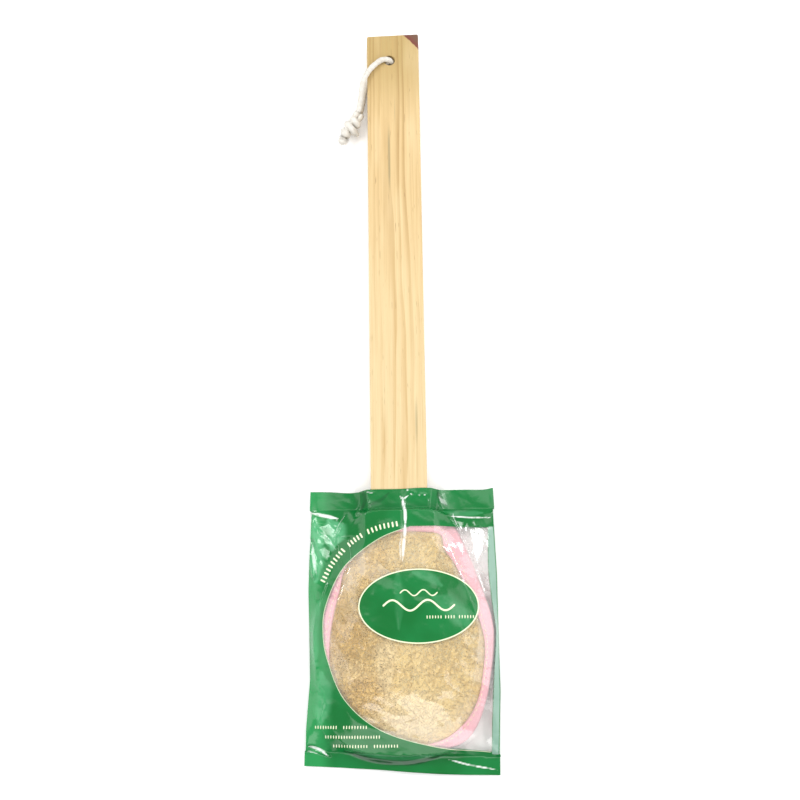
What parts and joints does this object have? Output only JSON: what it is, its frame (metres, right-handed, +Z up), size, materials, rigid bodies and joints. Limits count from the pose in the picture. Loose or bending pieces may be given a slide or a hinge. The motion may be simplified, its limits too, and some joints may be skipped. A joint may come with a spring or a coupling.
{
  "type": "loofah back scrubber",
  "caption": "Long flat wooden bath back scrubber: an oval loofah pad on a pine handle with a hanging cord, its head sealed in a printed film pouch.",
  "frame": {"origin": "centre of the object's base on the plane that it lies on, without the hanging cord", "axes": "+Y runs along the handle from the head to the hanging end, +Z up out of the loofah face, +X to the right"},
  "size_m": [0.128, 0.524, 0.0241],
  "materials": {
    "pine": "planed, unvarnished pine with straight grain",
    "loofah": "pressed loofah fibre net, matt",
    "foam": "open-cell sponge, matt",
    "pink_cloth": "pale pink towelling, soft",
    "thread": "twisted cream sewing thread",
    "staple_wire": "galvanised wire",
    "printed_film": "green print on thin clear film, glossy",
    "cotton_cord": "off-white braided cotton, smooth and slightly fuzzy at its cut ends"
  },
  "bodies": {
    "scrubber": {"wooden_handle": "pine", "loofah_face": "loofah", "foam_core": "foam", "backing_cloth": "pink_cloth", "edge_binding": "pink_cloth", "binding_thread": "thread", "neck_staple_left": "staple_wire", "neck_staple_right": "staple_wire", "pouch_front_film": "printed_film", "pouch_back_film": "printed_film"},
    "hang_loop": {"hang_cord": "cotton_cord", "hang_cord_knot": "cotton_cord", "cord_tail_long": "cotton_cord", "cord_tail_short": "cotton_cord"}
  },
  "joints": [
    {"name": "loop_swing", "type": "hinge", "parent": "scrubber", "child": "hang_loop", "pos_m": [-0.0025, 0.2413, 0.0091], "axis": [0, 0, 1], "range_deg": [-265, 2.5]}
  ]
}
